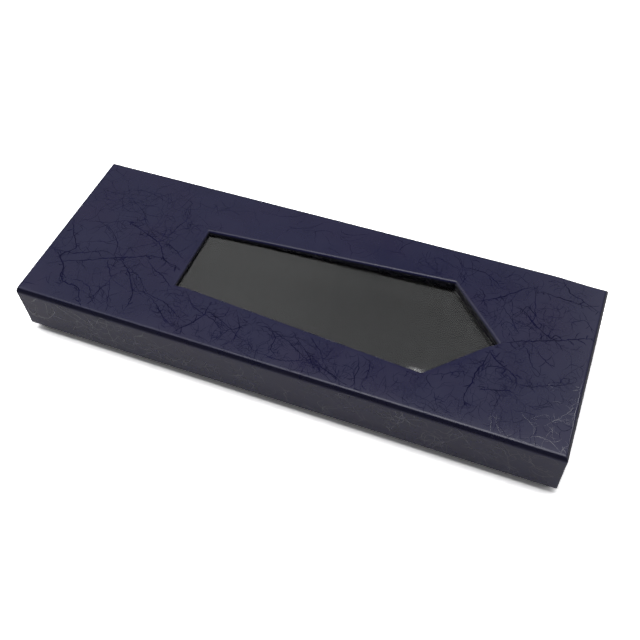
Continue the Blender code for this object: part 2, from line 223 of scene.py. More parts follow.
def add_world():
    """White where the camera looks. The light is a diffuser over the box that brightens towards
    the zenith, a panel at each side, and a dark room in front."""
    world = bpy.data.worlds.new("studio")
    world.use_nodes = True
    tree = world.node_tree
    tree.nodes.clear()
    output = tree.nodes.new("ShaderNodeOutputWorld")
    direction = tree.nodes.new("ShaderNodeTexCoord").outputs["Generated"]
    axes = tree.nodes.new("ShaderNodeSeparateXYZ")
    tree.links.new(direction, axes.inputs["Vector"])

    def ramp(value, start, end, low, high):
        node = tree.nodes.new("ShaderNodeMapRange")
        node.interpolation_type = 'SMOOTHSTEP'
        for key, number in (("From Min", start), ("From Max", end)):
            node.inputs[key].default_value = number
        for key, level in (("To Min", low), ("To Max", high)):
            if isinstance(level, float):
                node.inputs[key].default_value = level
            else:
                tree.links.new(level, node.inputs[key])
        tree.links.new(value, node.inputs["Value"])
        return node.outputs["Result"]

    def calculate(operation, *values):
        node = tree.nodes.new("ShaderNodeMath")
        node.operation = operation
        for slot, value in zip(node.inputs, values):
            tree.links.new(value, slot)
        return node.outputs[0]

    diffuser = ramp(axes.outputs["Z"], *DIFFUSER_HEIGHTS, HORIZON_LEVEL, DIFFUSER_LEVEL)
    key = ramp(axes.outputs["X"], *KEY_REACH, 1.0, KEY_LEVEL)
    diffuser = calculate('MULTIPLY', diffuser, key)
    far_right = ramp(axes.outputs["X"], *FAR_RIGHT_REACH, 1.0, FAR_RIGHT_LEVEL)
    across = calculate('ABSOLUTE', axes.outputs["Y"])
    bar = ramp(axes.outputs["Z"], *BAR_HEIGHTS, 0.0, ramp(across, *BAR_REACH, BAR_LEVEL, 0.0))
    diffuser = calculate('ADD', diffuser, bar)
    diffuser = calculate('MULTIPLY', diffuser, far_right)
    towards = tree.nodes.new("ShaderNodeVectorMath")
    towards.operation = 'DOT_PRODUCT'
    towards.inputs[1].default_value = DIP_TOWARDS
    tree.links.new(direction, towards.inputs[0])
    dip = ramp(towards.outputs["Value"], DIP_EDGE, DIP_CORE, 1.0, 1 - DIP_SHARE)
    diffuser = calculate('MULTIPLY', diffuser, dip)
    for heights, level in ((ZENITH_HEIGHTS, ZENITH_LEVEL), (STRIP_HEIGHTS, STRIP_LEVEL)):
        diffuser = calculate('ADD', diffuser, ramp(axes.outputs["Z"], *heights, 0.0, level))
    room = ramp(axes.outputs["Y"], *DIFFUSER_FRONT, FRONT_LEVEL, diffuser)
    sideways = calculate('ABSOLUTE', axes.outputs["X"])
    level = calculate('ADD', room, ramp(sideways, *SIDE_REACH, 0.0, SIDE_LEVEL))
    studio = tree.nodes.new("ShaderNodeBackground")
    tree.links.new(level, studio.inputs["Strength"])
    white = tree.nodes.new("ShaderNodeBackground")
    white.inputs["Color"].default_value = (1, 1, 1, 1)
    mix = tree.nodes.new("ShaderNodeMixShader")
    seen = seen_by(tree, ("Is Camera Ray", "Is Transmission Ray"))
    tree.links.new(seen, mix.inputs["Fac"])
    tree.links.new(studio.outputs["Background"], mix.inputs[1])
    tree.links.new(white.outputs["Background"], mix.inputs[2])
    tree.links.new(mix.outputs["Shader"], output.inputs["Surface"])
    bpy.context.scene.world = world


# Materials

class Look:
    """A Principled material and the few node recipes that the materials share."""

    def __init__(self, name, roughness, specular=0.5, ior=1.5):
        self.material = bpy.data.materials.new(name)
        self.material.use_nodes = True
        self.tree = self.material.node_tree
        self.shader = self.tree.nodes["Principled BSDF"]
        self.shader.inputs["Roughness"].default_value = roughness
        self.shader.inputs["Specular IOR Level"].default_value = specular
        self.shader.inputs["IOR"].default_value = ior
        self.place = self.tree.nodes.new("ShaderNodeTexCoord").outputs["Object"]

    def node(self, kind, **settings):
        node = self.tree.nodes.new(kind)
        for key, value in settings.items():
            setattr(node, key, value)
        return node

    def link(self, start, end):
        self.tree.links.new(start, end)

    def noise(self, size, detail=4.0, roughness=0.6, stretch=(1, 1, 1)):
        """Noise with features of about this size in metres, from 0 to 1."""
        mapping = self.node("ShaderNodeMapping")
        mapping.inputs["Scale"].default_value = stretch
        self.link(self.place, mapping.inputs["Vector"])
        texture = self.node("ShaderNodeTexNoise")
        texture.inputs["Scale"].default_value = 1 / size
        texture.inputs["Detail"].default_value = detail
        texture.inputs["Roughness"].default_value = roughness
        self.link(mapping.outputs["Vector"], texture.inputs["Vector"])
        return texture.outputs["Fac"]

    def span(self, value, low, high, out_low, out_high):
        """Maps a range of values onto another."""
        node = self.node("ShaderNodeMapRange")
        for key, number in (("From Min", low), ("From Max", high),
                            ("To Min", out_low), ("To Max", out_high)):
            node.inputs[key].default_value = number
        self.link(value, node.inputs["Value"])
        return node.outputs["Result"]

    def blend(self, factor, first, second, mode='MIX'):
        """Mixes two colours, each a tuple or a socket."""
        node = self.node("ShaderNodeMix", data_type='RGBA', blend_type=mode)
        if isinstance(factor, float):
            node.inputs["Factor"].default_value = factor
        else:
            self.link(factor, node.inputs["Factor"])
        for key, colour in (("A", first), ("B", second)):
            if isinstance(colour, tuple):
                node.inputs[key].default_value = (*colour, 1)
            else:
                self.link(colour, node.inputs[key])
        return node.outputs["Result"]

    def bump(self, heights):
        """Chains bumps, each a value and its height in metres."""
        normal = None
        for value, height in heights:
            node = self.node("ShaderNodeBump")
            node.inputs["Distance"].default_value = height
            node.inputs["Strength"].default_value = 1.0
            self.link(value, node.inputs["Height"])
            if normal:
                self.link(normal, node.inputs["Normal"])
            normal = node.outputs["Normal"]
        self.link(normal, self.shader.inputs["Normal"])

    def colour(self, socket):
        self.link(socket, self.shader.inputs["Base Color"])

    def rough(self, socket):
        self.link(socket, self.shader.inputs["Roughness"])


NAVY = (0.0036, 0.0038, 0.0355)
NAVY_PALE = (0.0062, 0.0062, 0.0405)
NAVY_VIOLET = (0.0066, 0.0035, 0.0360)


# Painted shade: the near-black that the leatherette's colour is blended towards where the window's inner wall and the
# outer fold's steep part lie in shade.
PAINTED_SHADE_BLACK = (0.0030, 0.0030, 0.0080)


def leatherette():
    look = Look("leatherette", 0.28, specular=0.50)
    cloud = look.noise(28 * MM, detail=3)
    tint = look.noise(46 * MM, detail=2)
    grain = look.noise(0.55 * MM, detail=3, roughness=0.7)
    base = look.blend(look.span(cloud, 0.35, 0.68, 0, 1), NAVY, NAVY_PALE)
    base = look.blend(look.span(tint, 0.45, 0.70, 0, 0.7), base, NAVY_VIOLET)
    speck = look.span(grain, 0.3, 0.75, 0.86, 1.12)
    shade = look.node("ShaderNodeVectorMath", operation='SCALE')
    look.link(base, shade.inputs[0])
    look.link(speck, shade.inputs["Scale"])
    # Painted shade: a vertex attribute set in lid_covering blends the colour towards near-black on the outer fold's
    # steep part and on the window's inner wall.
    painted_shade = look.node("ShaderNodeAttribute", attribute_name="painted_shade").outputs["Fac"]
    look.colour(look.blend(painted_shade, shade.outputs["Vector"], PAINTED_SHADE_BLACK))
    look.rough(look.span(cloud, 0.3, 0.7, 0.25, 0.31))
    look.bump(((look.noise(1.6 * MM, detail=4), 0.035 * MM), (grain, 0.012 * MM)))
    return look.material


def thread_painted_shade():
    """The threads of the lid's top, dull and painted nearly black: painted shade, where the same threads elsewhere get
    a light colour.
    """
    look = Look("thread_painted_shade", 0.6, specular=0.06)
    vary = look.noise(9 * MM, detail=2)
    # Painted shade: the nearly black colour stands for these threads where they catch no light.
    look.colour(look.blend(look.span(vary, 0.35, 0.65, 0, 1), (0.0020, 0.0020, 0.0180), (0.0045, 0.0043, 0.0300)))
    look.rough(look.span(vary, 0.3, 0.7, 0.5, 0.7))
    return look.material


def thread_painted_highlight():
    """The threads of the sides, with a painted highlight: a light colour where they catch the light, lighter still
    towards the lid's left end and on its top.
    """
    look = Look("thread_painted_highlight", 0.45, specular=0.40)
    vary = look.noise(9 * MM, detail=2)
    base = look.blend(look.span(vary, 0.35, 0.65, 0, 1), (0.050, 0.050, 0.072), (0.130, 0.130, 0.155))
    axes = look.node("ShaderNodeSeparateXYZ")
    look.link(look.place, axes.inputs["Vector"])
    # Painted highlight: the colour turns lighter towards the lid's left end and on the lid's top.
    end = look.span(axes.outputs["X"], -60 * MM, -170 * MM, 0, 0.8)
    top = look.span(axes.outputs["Z"], 42.6 * MM, 43.4 * MM, 0, 0.9)
    brighter = look.node("ShaderNodeMath", operation='MAXIMUM')
    look.link(end, brighter.inputs[0])
    look.link(top, brighter.inputs[1])
    look.colour(look.blend(brighter.outputs["Value"], base, (0.230, 0.230, 0.250)))
    look.rough(look.span(vary, 0.3, 0.7, 0.38, 0.55))
    return look.material


def greyboard():
    look = Look("greyboard", 0.9, specular=0.2)
    fibre = look.noise(1.2 * MM, detail=5, stretch=(0.25, 1, 1))
    fleck = look.noise(0.7 * MM, detail=2, roughness=0.4)
    base = look.blend(look.span(fibre, 0.3, 0.7, 0, 1), (0.26, 0.24, 0.215), (0.38, 0.36, 0.33))
    base = look.blend(look.span(fleck, 0.68, 0.74, 0, 0.6), base, (0.10, 0.09, 0.08))
    look.colour(base)
    look.rough(look.span(fibre, 0.3, 0.7, 0.82, 0.96))
    look.bump(((fibre, 0.05 * MM),))
    return look.material


def kraft():
    look = Look("stay_kraft", 0.8, specular=0.3)
    fibre = look.noise(0.9 * MM, detail=5, stretch=(1, 1, 0.3))
    look.colour(look.blend(look.span(fibre, 0.3, 0.7, 0, 1), (0.38, 0.255, 0.15), (0.54, 0.39, 0.25)))
    look.rough(look.span(fibre, 0.3, 0.7, 0.72, 0.88))
    look.bump(((fibre, 0.03 * MM),))
    return look.material


def black_lining():
    look = Look("black_lining", 0.62, specular=0.4)
    tooth = look.noise(0.8 * MM, detail=4)
    cloud = look.noise(30 * MM, detail=2)
    base = look.blend(look.span(tooth, 0.3, 0.7, 0, 1), (0.0075, 0.0075, 0.0085), (0.0145, 0.0145, 0.0160))
    look.colour(look.blend(look.span(cloud, 0.4, 0.7, 0, 0.4), base, (0.017, 0.016, 0.016)))
    look.rough(look.span(tooth, 0.3, 0.7, 0.55, 0.72))
    look.bump(((tooth, 0.03 * MM),))
    return look.material


def white_tape():
    look = Look("white_tape", 0.5)
    crepe = look.noise(0.6 * MM, detail=3, stretch=(1, 0.4, 1))
    look.colour(look.blend(look.span(crepe, 0.3, 0.7, 0, 1), (0.66, 0.65, 0.60), (0.78, 0.77, 0.73)))
    look.rough(look.span(crepe, 0.3, 0.7, 0.42, 0.6))
    look.bump(((crepe, 0.02 * MM),))
    return look.material


def bottom_cover():
    look = Look("bottom_cover", 0.5, specular=0.4)
    cloud = look.noise(22 * MM, detail=4)
    grain = look.noise(0.6 * MM, detail=3)
    base = look.blend(look.span(cloud, 0.35, 0.7, 0, 1), (0.0045, 0.0048, 0.024), (0.0085, 0.0085, 0.034))
    scuff = look.noise(5 * MM, detail=5, stretch=(0.3, 1, 1))
    look.colour(look.blend(look.span(scuff, 0.62, 0.72, 0, 0.35), base, (0.035, 0.034, 0.050)))
    look.rough(look.span(grain, 0.3, 0.7, 0.42, 0.58))
    look.bump(((grain, 0.02 * MM),))
    return look.material


def black_flock():
    look = Look("black_flock", 0.95, specular=0.15)
    nap = look.noise(0.45 * MM, detail=4, roughness=0.8)
    brushed = look.noise(17 * MM, detail=3, stretch=(0.5, 1, 1))
    base = look.blend(look.span(nap, 0.3, 0.7, 0, 1), (0.0035, 0.0035, 0.0040), (0.0125, 0.0125, 0.0140))
    look.colour(look.blend(look.span(brushed, 0.4, 0.7, 0, 0.5), base, (0.015, 0.015, 0.017)))
    look.shader.inputs["Sheen Weight"].default_value = 0.25
    look.shader.inputs["Sheen Roughness"].default_value = 0.5
    look.rough(look.span(nap, 0.3, 0.7, 0.88, 1.0))
    look.bump(((nap, 0.10 * MM),))
    return look.material


def clear_film():
    look = Look("clear_film", 0.14, ior=1.49)
    look.shader.inputs["Transmission Weight"].default_value = 1.0
    smear = look.noise(24 * MM, detail=3, stretch=(0.6, 1, 1))
    look.colour(look.blend(look.span(smear, 0.4, 0.7, 0, 1), (0.95, 0.96, 0.965), (0.90, 0.915, 0.925)))
    look.rough(look.span(smear, 0.4, 0.75, 0.12, 0.17))
    look.bump(((look.noise(14 * MM, detail=2), 0.02 * MM),))
    return look.material


# Shared mesh building

def new_piece(name, bm, material, body):
    bm.normal_update()
    mesh = bpy.data.meshes.new(name)
    bm.to_mesh(mesh)
    bm.free()
    mesh.materials.append(material)
    piece = bpy.data.objects.new(name, mesh)
    bpy.context.scene.collection.objects.link(piece)
    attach(piece, body)
    return piece


def thicken(piece, thickness):
    modifier = piece.modifiers.new("thickness", 'SOLIDIFY')
    modifier.thickness = thickness
    modifier.offset = -1
    modifier.use_even_offset = True


def smooth_folds(piece, degrees=35):
    piece.data.shade_smooth()
    piece.data.set_sharp_from_angle(angle=math.radians(degrees))


def smoothstep(value, low, high):
    share = min(max((value - low) / (high - low), 0), 1)
    return share * share * (3 - 2 * share)


def moved_corners(corners, offset):
    """A polygon's corners, moved outwards with mitres."""
    places = []
    for index, corner in enumerate(corners):
        before = (corner - corners[index - 1]).normalized()
        after = (corners[(index + 1) % len(corners)] - corner).normalized()
        out = Vector((before.y, -before.x))
        mitre = (out + Vector((after.y, -after.x))).normalized()
        places.append(corner + mitre * (offset / mitre.dot(out)))
    return places


def corner_points(corner, before, after, radius):
    """A rounded corner, or a short straight stretch where the outline runs straight on."""
    turn = before.angle(after)
    if turn < math.radians(1):
        reach = before * STRETCH / 2
        return [corner - reach + 2 * reach * step / ARC_STEPS for step in range(ARC_STEPS + 1)]
    start = corner - before * radius * math.tan(turn / 2)
    inwards = Vector((-before.y, before.x))
    centre = start + inwards * radius
    points = []
    for step in range(ARC_STEPS + 1):
        arm = -inwards * radius
        arm.rotate(Matrix.Rotation(turn * step / ARC_STEPS, 2))
        points.append(centre + arm)
    return points


def outline_points(corners, steps, offset, radius, z):
    """A closed anticlockwise loop with rounded corners and a fixed number of points on each side."""
    places = moved_corners(corners, offset)
    loop = []
    for index, place in enumerate(places):
        before = (place - places[index - 1]).normalized()
        following = places[(index + 1) % len(places)]
        after = (following - place).normalized()
        arc = corner_points(place, before, after, radius)
        loop += arc
        after_next = (places[(index + 2) % len(places)] - following).normalized()
        target = corner_points(following, after, after_next, radius)[0]
        for step in range(1, steps[index]):
            loop.append(arc[-1].lerp(target, step / steps[index]))
    return [Vector((point.x, point.y, z)) for point in loop]


def skin(bm, loops):
    rings = [[bm.verts.new(point) for point in loop] for loop in loops]
    for low, high in zip(rings, rings[1:]):
        for index in range(len(low)):
            after = (index + 1) % len(low)
            bm.faces.new((low[index], low[after], high[after], high[index]))
    return rings


def evenly(start, end, steps):
    return [start + (end - start) * step / steps for step in range(steps + 1)]


# The lid's covering

WINDOW_MARK_X = 112 * MM          # where the front edge answers to the window's shoulder
SLANT_MIDDLE = Vector(((WINDOW_SHOULDER_X + WINDOW_POINT_X) / 2, WINDOW_WIDE / 2))
LID_CORNERS = [Vector(place) for place in (
    (-LID_HALF.x, -LID_HALF.y), (WINDOW_MARK_X, -LID_HALF.y), (LID_HALF.x, -LID_HALF.y),
    (LID_HALF.x, 0), (LID_HALF.x, LID_HALF.y), (WINDOW_MARK_X, LID_HALF.y),
    (-LID_HALF.x, LID_HALF.y))]
WINDOW_CORNERS = [Vector(place) for place in (
    (WINDOW_END_X, -WINDOW_NARROW), (WINDOW_SHOULDER_X, -WINDOW_WIDE),
    (SLANT_MIDDLE.x, -SLANT_MIDDLE.y), (WINDOW_POINT_X, 0), (SLANT_MIDDLE.x, SLANT_MIDDLE.y),
    (WINDOW_SHOULDER_X, WINDOW_WIDE), (WINDOW_END_X, WINDOW_NARROW))]


def side_steps(corners, step):
    counts = []
    for index, corner in enumerate(corners):
        following = corners[(index + 1) % len(corners)]
        counts.append(max(4, round((following - corner).length / step)))
    return counts


LID_STEPS = side_steps(LID_CORNERS, SIDE_STEP)


def fold_profile():
    """Pairs of inset and drop round the lid's outer fold, from the top down to the side."""
    pairs = [(0.0, 0.0)]
    angle = 0
    for radius, sweep in FOLD_ARCS:
        for step in range(FOLD_ARC_STEPS):
            first = math.radians(angle + sweep * step / FOLD_ARC_STEPS)
            last = math.radians(angle + sweep * (step + 1) / FOLD_ARC_STEPS)
            out, down = pairs[-1]
            pairs.append((out + radius * (math.sin(last) - math.sin(first)),
                          down + radius * (math.cos(first) - math.cos(last))))
        angle += sweep
    width = pairs[-1][0]
    return [(width - out, down) for out, down in pairs]


FOLD = fold_profile()
FOLD_WIDTH = FOLD[0][0]
FOLD_DROP = FOLD[-1][1]
LID_TOP_Z = LID_HIGH.z
LID_RIM_Z = LID_LOW.z
FOLD_FOOT_Z = LID_TOP_Z - FOLD_DROP
OUTER_FACE = 0.6 * MM             # a point this near the lid's edge is on its outside


def relief(x, y):
    """How far the lid's top surface lies below its highest possible level."""
    inset = min(LID_HALF.x - abs(x), LID_HALF.y - abs(y))
    shoulder = fold_share(x, y) * SHOULDER_DROP
    shoulder *= math.exp(-max(inset - FOLD_WIDTH, 0) / SHOULDER_REACH)
    wave = noise.noise(Vector((x / TOP_WAVE_LENGTH, y / TOP_WAVE_LENGTH, 3.7)))
    return -(TOP_SETTLE + shoulder + TOP_WAVE * (wave + 1))


def wall_dent(along, z, seed):
    """How far a side wall lies inwards of its straightest possible line."""
    share = min(max((z - LID_RIM_Z) / (FOLD_FOOT_Z - LID_RIM_Z), 0), 1)
    wave = noise.noise(Vector((along / WALL_WAVE_LENGTH, z / WALL_WAVE_LENGTH, seed)))
    return WALL_WAVE * 4 * share * (1 - share) * (wave + 1) / 2


def edge_shares(x, y):
    """The sizes of the nearest fold across x and of the nearest across y, as shares of the front's."""
    right = smoothstep(x, LID_HALF.x - 40 * MM, LID_HALF.x - 5 * MM)
    far = FAR_FOLD_SHARE + (RIGHT_FOLD_SHARE - FAR_FOLD_SHARE) * right
    return far, (1.0 if y < 0 else far)


def fold_share(x, y):
    """The size of the fold here, as a share of the front one's."""
    share_x, share_y = edge_shares(x, y)
    nearer_y = smoothstep(abs(y) - LID_HALF.y - abs(x) + LID_HALF.x, -2 * MM, 2 * MM)
    return share_x + (share_y - share_x) * nearer_y


def stretched(value, knee, end, share):
    """Scales what lies below a knee by a share, and eases the rest back to its place by an end."""
    if value >= end:
        return value
    if value <= knee:
        return value * share
    return knee * share + (value - knee) * (end - knee * share) / (end - knee)


def tightened(x, y, z):
    """Shrinks the lid's fold to its local size."""
    inset_x = LID_HALF.x - abs(x)
    inset_y = LID_HALF.y - abs(y)
    inset = min(inset_x, inset_y)
    if inset >= FOLD_REACH or (inset > OUTER_FACE and z < FOLD_FOOT_Z - FOLD_REACH):
        return x, y, z
    share_x, share_y = edge_shares(x, y)
    drop = stretched(LID_TOP_Z - z, FOLD_DROP, LID_TOP_Z - LID_RIM_Z, fold_share(x, y))
    x = math.copysign(LID_HALF.x - stretched(inset_x, FOLD_WIDTH, FOLD_REACH, share_x), x)
    y = math.copysign(LID_HALF.y - stretched(inset_y, FOLD_WIDTH, FOLD_REACH, share_y), y)
    return x, y, LID_TOP_Z - drop


def settled(point):
    """Moves a point of the lid's ideal outer surface onto the slightly uneven real one."""
    x, y, z = tightened(*point)
    if z > WINDOW_SILL_Z:
        z += relief(x, y) * smoothstep(z, WINDOW_SILL_Z, LID_TOP_Z - 0.6 * MM)
    if LID_HALF.y - abs(y) < OUTER_FACE:
        y -= math.copysign(wall_dent(x, z, 11.3), y)
    if LID_HALF.x - abs(x) < OUTER_FACE:
        x -= math.copysign(wall_dent(y, z, 5.9), x)
    return Vector((x, y, z))


def lid_loop(inset, radius, z):
    return outline_points(LID_CORNERS, LID_STEPS, -inset, radius, z)


def window_loop(offset, radius, z):
    return outline_points(WINDOW_CORNERS, LID_STEPS, offset, radius, z)


def rim_profile(radius, steps):
    """Pairs of inset and rise round a rim's outer edge, from the foot to the side."""
    pairs = []
    for step in range(steps + 1):
        angle = math.radians(90) * step / steps
        pairs.append((radius * (1 - math.sin(angle)), radius * (1 - math.cos(angle))))
    return pairs


FOLD_SHADE_LOOPS = 2 * FOLD_ARC_STEPS + 1    # the steep part of the outer fold, which gets painted shade
FOLD_PAINTED_SHADE = 0.7
FILM_DIP = 3.4 * MM               # how far the film hangs below its taped rim at the window's point
FILM_DIP_FROM = -50 * MM
REVEAL_LOOPS = 7                  # from half way down the window's fold to the hidden turn-in, painted near-black as painted shade


def film_dip(x):
    return FILM_DIP * min(max((x - FILM_DIP_FROM) / (WINDOW_POINT_X - FILM_DIP_FROM), 0), 1)


def narrow_window_fold(point):
    """Makes the window's fold narrower at its straight end, and sharper along its front edges."""
    point.x = max(point.x, WINDOW_END_X + (point.x - WINDOW_END_X) * WINDOW_END_FOLD_SHARE)
    front = smoothstep(-point.y, 0, 8 * MM) * smoothstep(point.x, WINDOW_END_X, WINDOW_END_X + 8 * MM)
    if front == 0 or point.x > WINDOW_POINT_X:
        return
    share = 1 + (WINDOW_FRONT_FOLD_SHARE - 1) * front
    edge = -window_half_width(point.x, 0)
    point.y = edge + (point.y - edge) * share
    deepest = LID_TOP_Z - WINDOW_SILL_Z
    point.z = LID_TOP_Z - stretched(LID_TOP_Z - point.z, WINDOW_FOLD_RADIUS, deepest, share)


def lid_covering(material):
    """Leatherette from inside the lid's rim, over the sides and top, to under the window's edge."""
    bm = bmesh.new()
    loops = [lid_loop(WALL, CREASE_RADIUS, z) for z in evenly(LID_RIM_Z + LID_TURN_IN, LID_RIM_Z, 3)]
    for inset, rise in rim_profile(CREASE_RADIUS, 3):
        loops.append(lid_loop(inset, CORNER_RADIUS - inset, LID_RIM_Z + rise))
    for z in evenly(LID_RIM_Z + CREASE_RADIUS, FOLD_FOOT_Z, 12)[1:-1]:
        loops.append(lid_loop(0, CORNER_RADIUS, z))
    fold_start = len(loops) + FOLD_ARC_STEPS
    for inset, drop in reversed(FOLD):
        loops.append(lid_loop(inset, max(CORNER_RADIUS - inset, 0.4 * MM), LID_TOP_Z - drop))
    for inset in evenly(FOLD_WIDTH, FOLD_REACH, 6)[1:]:
        loops.append(lid_loop(inset, 0.4 * MM + inset / 6, LID_TOP_Z))
    outer = loops[-1]
    inner = window_loop(WINDOW_FOLD_RADIUS, WINDOW_CORNER_RADIUS, LID_TOP_Z)
    for share in evenly(0, 1, 22)[1:-1]:
        loops.append([a.lerp(b, share) for a, b in zip(outer, inner)])
    for step in range(6):
        angle = math.radians(90) * step / 5
        offset = WINDOW_FOLD_RADIUS * (1 - math.sin(angle))
        drop = WINDOW_FOLD_RADIUS * (1 - math.cos(angle))
        loops.append(window_loop(offset, WINDOW_CORNER_RADIUS, LID_TOP_Z - drop))
    for z in evenly(LID_TOP_Z - WINDOW_FOLD_RADIUS, WINDOW_SILL_Z, 3)[1:]:
        loops.append(window_loop(0, WINDOW_CORNER_RADIUS, z))
    for point in loops[-1]:
        point.z -= film_dip(point.x)
    loops.append(window_loop(WINDOW_TURN_IN, WINDOW_CORNER_RADIUS, WINDOW_SILL_Z))
    for loop in loops[-REVEAL_LOOPS - 3:-1]:
        for point in loop:
            narrow_window_fold(point)
    shade_paint = bm.verts.layers.float.new("painted_shade")
    rings = skin(bm, [[settled(point) for point in loop] for loop in loops])
    # Painted shade: the outer fold's steep part is darkened part way towards near-black, and the window's inner wall
    # all the way.
    for ring in rings[fold_start:fold_start + FOLD_SHADE_LOOPS]:
        for vertex in ring:
            vertex[shade_paint] = FOLD_PAINTED_SHADE
    for ring in rings[-REVEAL_LOOPS:]:
        for vertex in ring:
            vertex[shade_paint] = 1
    piece = new_piece("lid_leatherette", bm, material, "lid")
    thicken(piece, PAPER)
    smooth_folds(piece)
    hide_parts("lid_wrap")


# The board under the lid's top

TOP_BOARD_LOW, TOP_BOARD_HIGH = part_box("lid_top_board")
BOARD_CLEAR = 0.35 * MM           # between the board and the outside of its covering


def bevelled_board(material):
    """The top board, with its upper edge bevelled so that the covering folds round it."""
    edge = LID_HALF.x - TOP_BOARD_HIGH.x
    thick = TOP_BOARD_HIGH.z - TOP_BOARD_LOW.z

    def bevelled(level):
        loop = []
        for point in lid_loop(edge, CORNER_RADIUS, TOP_BOARD_LOW.z):
            share = fold_share(point.x, point.y)
            deep = min(share * FOLD_DROP + BOARD_CLEAR - (LID_HIGH.z - TOP_BOARD_HIGH.z), thick)
            reach = max(share * FOLD_WIDTH + BOARD_CLEAR - edge, 0)
            slope = reach / (share * FOLD_DROP)
            inset = {"foot": reach - slope * deep, "bevel": reach - slope * deep, "top": reach}[level]
            rise = {"foot": 0, "bevel": thick - deep, "top": thick}[level]
            x = math.copysign(abs(point.x) - max(inset, 0), point.x)
            y = math.copysign(abs(point.y) - max(inset, 0), point.y)
            loop.append(Vector((x, y, TOP_BOARD_LOW.z + rise)))
        return loop

    margin = PAPER + BOARD_CLEAR
    hole = [window_loop(offset, WINDOW_CORNER_RADIUS, z) for offset, z in (
        (WINDOW_FOLD_RADIUS + BOARD_CLEAR, TOP_BOARD_HIGH.z - TOP_SETTLE),
        (margin, TOP_BOARD_LOW.z + 0.5 * MM), (margin, TOP_BOARD_LOW.z))]
    loops = [bevelled("foot"), bevelled("bevel"), bevelled("top")] + hole
    bm = bmesh.new()
    rings = skin(bm, loops + [loops[0]])
    bmesh.ops.remove_doubles(bm, verts=rings[0] + rings[-1], dist=MM / 1000)
    piece = new_piece("bevelled_top_board", bm, material, "lid")
    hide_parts("lid_top_board")


# The tray's covering

def tray_covering(material):
    """Leatherette from under the tray's edge, up the sides, over the rim and down inside."""
    corners = [Vector(place) for place in (
        (-BASE_HALF.x, -BASE_HALF.y), (BASE_HALF.x, -BASE_HALF.y),
        (BASE_HALF.x, BASE_HALF.y), (-BASE_HALF.x, BASE_HALF.y))]
    steps = side_steps(corners, 3 * MM)

    def loop(inset, radius, z):
        return outline_points(corners, steps, -inset, radius, z)

    foot = BASE_LOW.z
    rim = BASE_HIGH.z
    loops = [loop(WALL + BASE_UNDER_TURN_IN, CREASE_RADIUS, foot)]
    for inset, rise in rim_profile(CREASE_RADIUS, 3):
        loops.append(loop(inset, CORNER_RADIUS - inset, foot + rise))
    for z in evenly(foot + CREASE_RADIUS, rim - CREASE_RADIUS, 10)[1:-1]:
        loops.append(loop(0, CORNER_RADIUS, z))
    for inset, rise in reversed(rim_profile(CREASE_RADIUS, 3)):
        loops.append(loop(inset, CORNER_RADIUS - inset, rim - rise))
    for z in evenly(rim, rim - BASE_TURN_IN, 3):
        loops.append(loop(WALL, CREASE_RADIUS, z))
    bm = bmesh.new()
    skin(bm, loops)
    piece = new_piece("tray_leatherette", bm, material, "base")
    thicken(piece, PAPER)
    smooth_folds(piece)
    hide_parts("base_wrap")


# The window's film

def window_half_width(x, offset):
    """Half the window's width at x, for its outline moved outwards by an offset."""
    places = moved_corners(WINDOW_CORNERS, offset)
    end, shoulder, point = places[0], places[1], places[3]
    if x <= shoulder.x:
        share = (x - end.x) / (shoulder.x - end.x)
        return -(end.y + (shoulder.y - end.y) * share)
    return -shoulder.y * (point.x - x) / (point.x - shoulder.x)


FILM_COLUMNS = 150
FILM_ROWS = 110
FILM_CROWN = 0.5 * MM
FILM_DIP_RIM = (-3.0 * MM, -0.4 * MM)
PULL_X = 88.5 * MM                # the film is pulled down at the window's front shoulder
PULL_REACH_X = 5.5 * MM
PULL_REACH = 7.0 * MM
PULL_DEPTH = 1.0 * MM


def film_rise(x, y):
    """How far the film lies above its taped rim: it hangs towards the point, and bows slightly."""
    inside = window_half_width(x, 0) - abs(y)
    if x > WINDOW_SHOULDER_X:
        inside /= math.sqrt(2)
    inside = min(inside, x - WINDOW_END_X)
    crown = FILM_CROWN * smoothstep(inside, 0, 25 * MM)
    rise = crown - film_dip(x) * smoothstep(inside, *FILM_DIP_RIM)
    if y < 0:
        share = math.exp(-((x - PULL_X) / PULL_REACH_X) ** 2)
        rise -= PULL_DEPTH * share * (1 - smoothstep(inside, 0, PULL_REACH))
    return rise


def bowed_film(material):
    """The film, flat at its taped rim and slightly bowed between."""
    bm = bmesh.new()
    places = moved_corners(WINDOW_CORNERS, FILM_MARGIN)
    start, end = places[0].x, places[3].x
    columns = []
    for column in range(FILM_COLUMNS + 1):
        x = start + (end - start) * column / FILM_COLUMNS
        half = max(window_half_width(x, FILM_MARGIN), 0.05 * MM)
        line = []
        for row in range(FILM_ROWS + 1):
            y = half * (2 * row / FILM_ROWS - 1)
            line.append(bm.verts.new((x, y, FILM_HIGH.z + film_rise(x, y))))
        columns.append(line)
    for left, right in zip(columns, columns[1:]):
        for row in range(FILM_ROWS):
            bm.faces.new((left[row], right[row], right[row + 1], left[row + 1]))
    piece = new_piece("bowed_film", bm, material, "lid")
    thicken(piece, FILM_HIGH.z - FILM_LOW.z)
    smooth_folds(piece)
    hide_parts("window_film")
